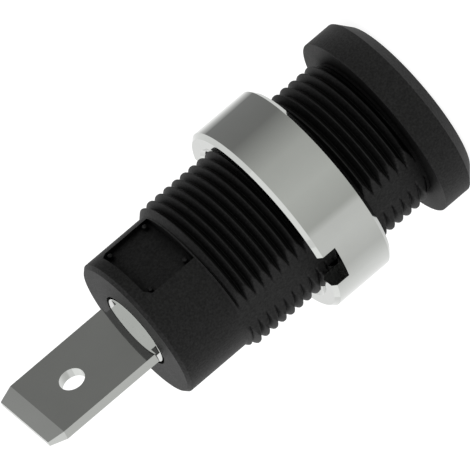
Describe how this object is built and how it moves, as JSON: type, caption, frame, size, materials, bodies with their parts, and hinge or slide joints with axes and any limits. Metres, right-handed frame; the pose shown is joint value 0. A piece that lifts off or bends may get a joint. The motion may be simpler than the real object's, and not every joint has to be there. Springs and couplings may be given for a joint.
{
  "type": "safety banana socket",
  "caption": "Panel socket for a shrouded banana plug: flanged insulating body with threaded barrel, ring nut, turned contact and flat tab.",
  "frame": {"origin": "centre of the flange's front face, on which the socket stands", "axes": "+Z along the axis from the plug's mouth to the tab's tip, X across the tab's width and square to the barrel's flats, Y square to the tab's broad face"},
  "size_m": [0.015, 0.015, 0.0344],
  "materials": {
    "insulator": "black moulded polyamide, fine eroded grain",
    "plated_contact": "turned brass, bright nickel plated",
    "plated_tab": "stamped brass, bright nickel plated",
    "plated_nut": "turned brass, satin nickel plated"
  },
  "bodies": {
    "socket": {"housing": "insulator", "contact_socket": "plated_contact", "flat_tab": "plated_tab"},
    "ring_nut": {"ring_nut": "plated_nut"}
  },
  "joints": [
    {"name": "nut_travel", "type": "slide", "parent": "socket", "child": "ring_nut", "axis": [0, 0, 1], "range_m": [-0.0045, 0.00975]}
  ]
}
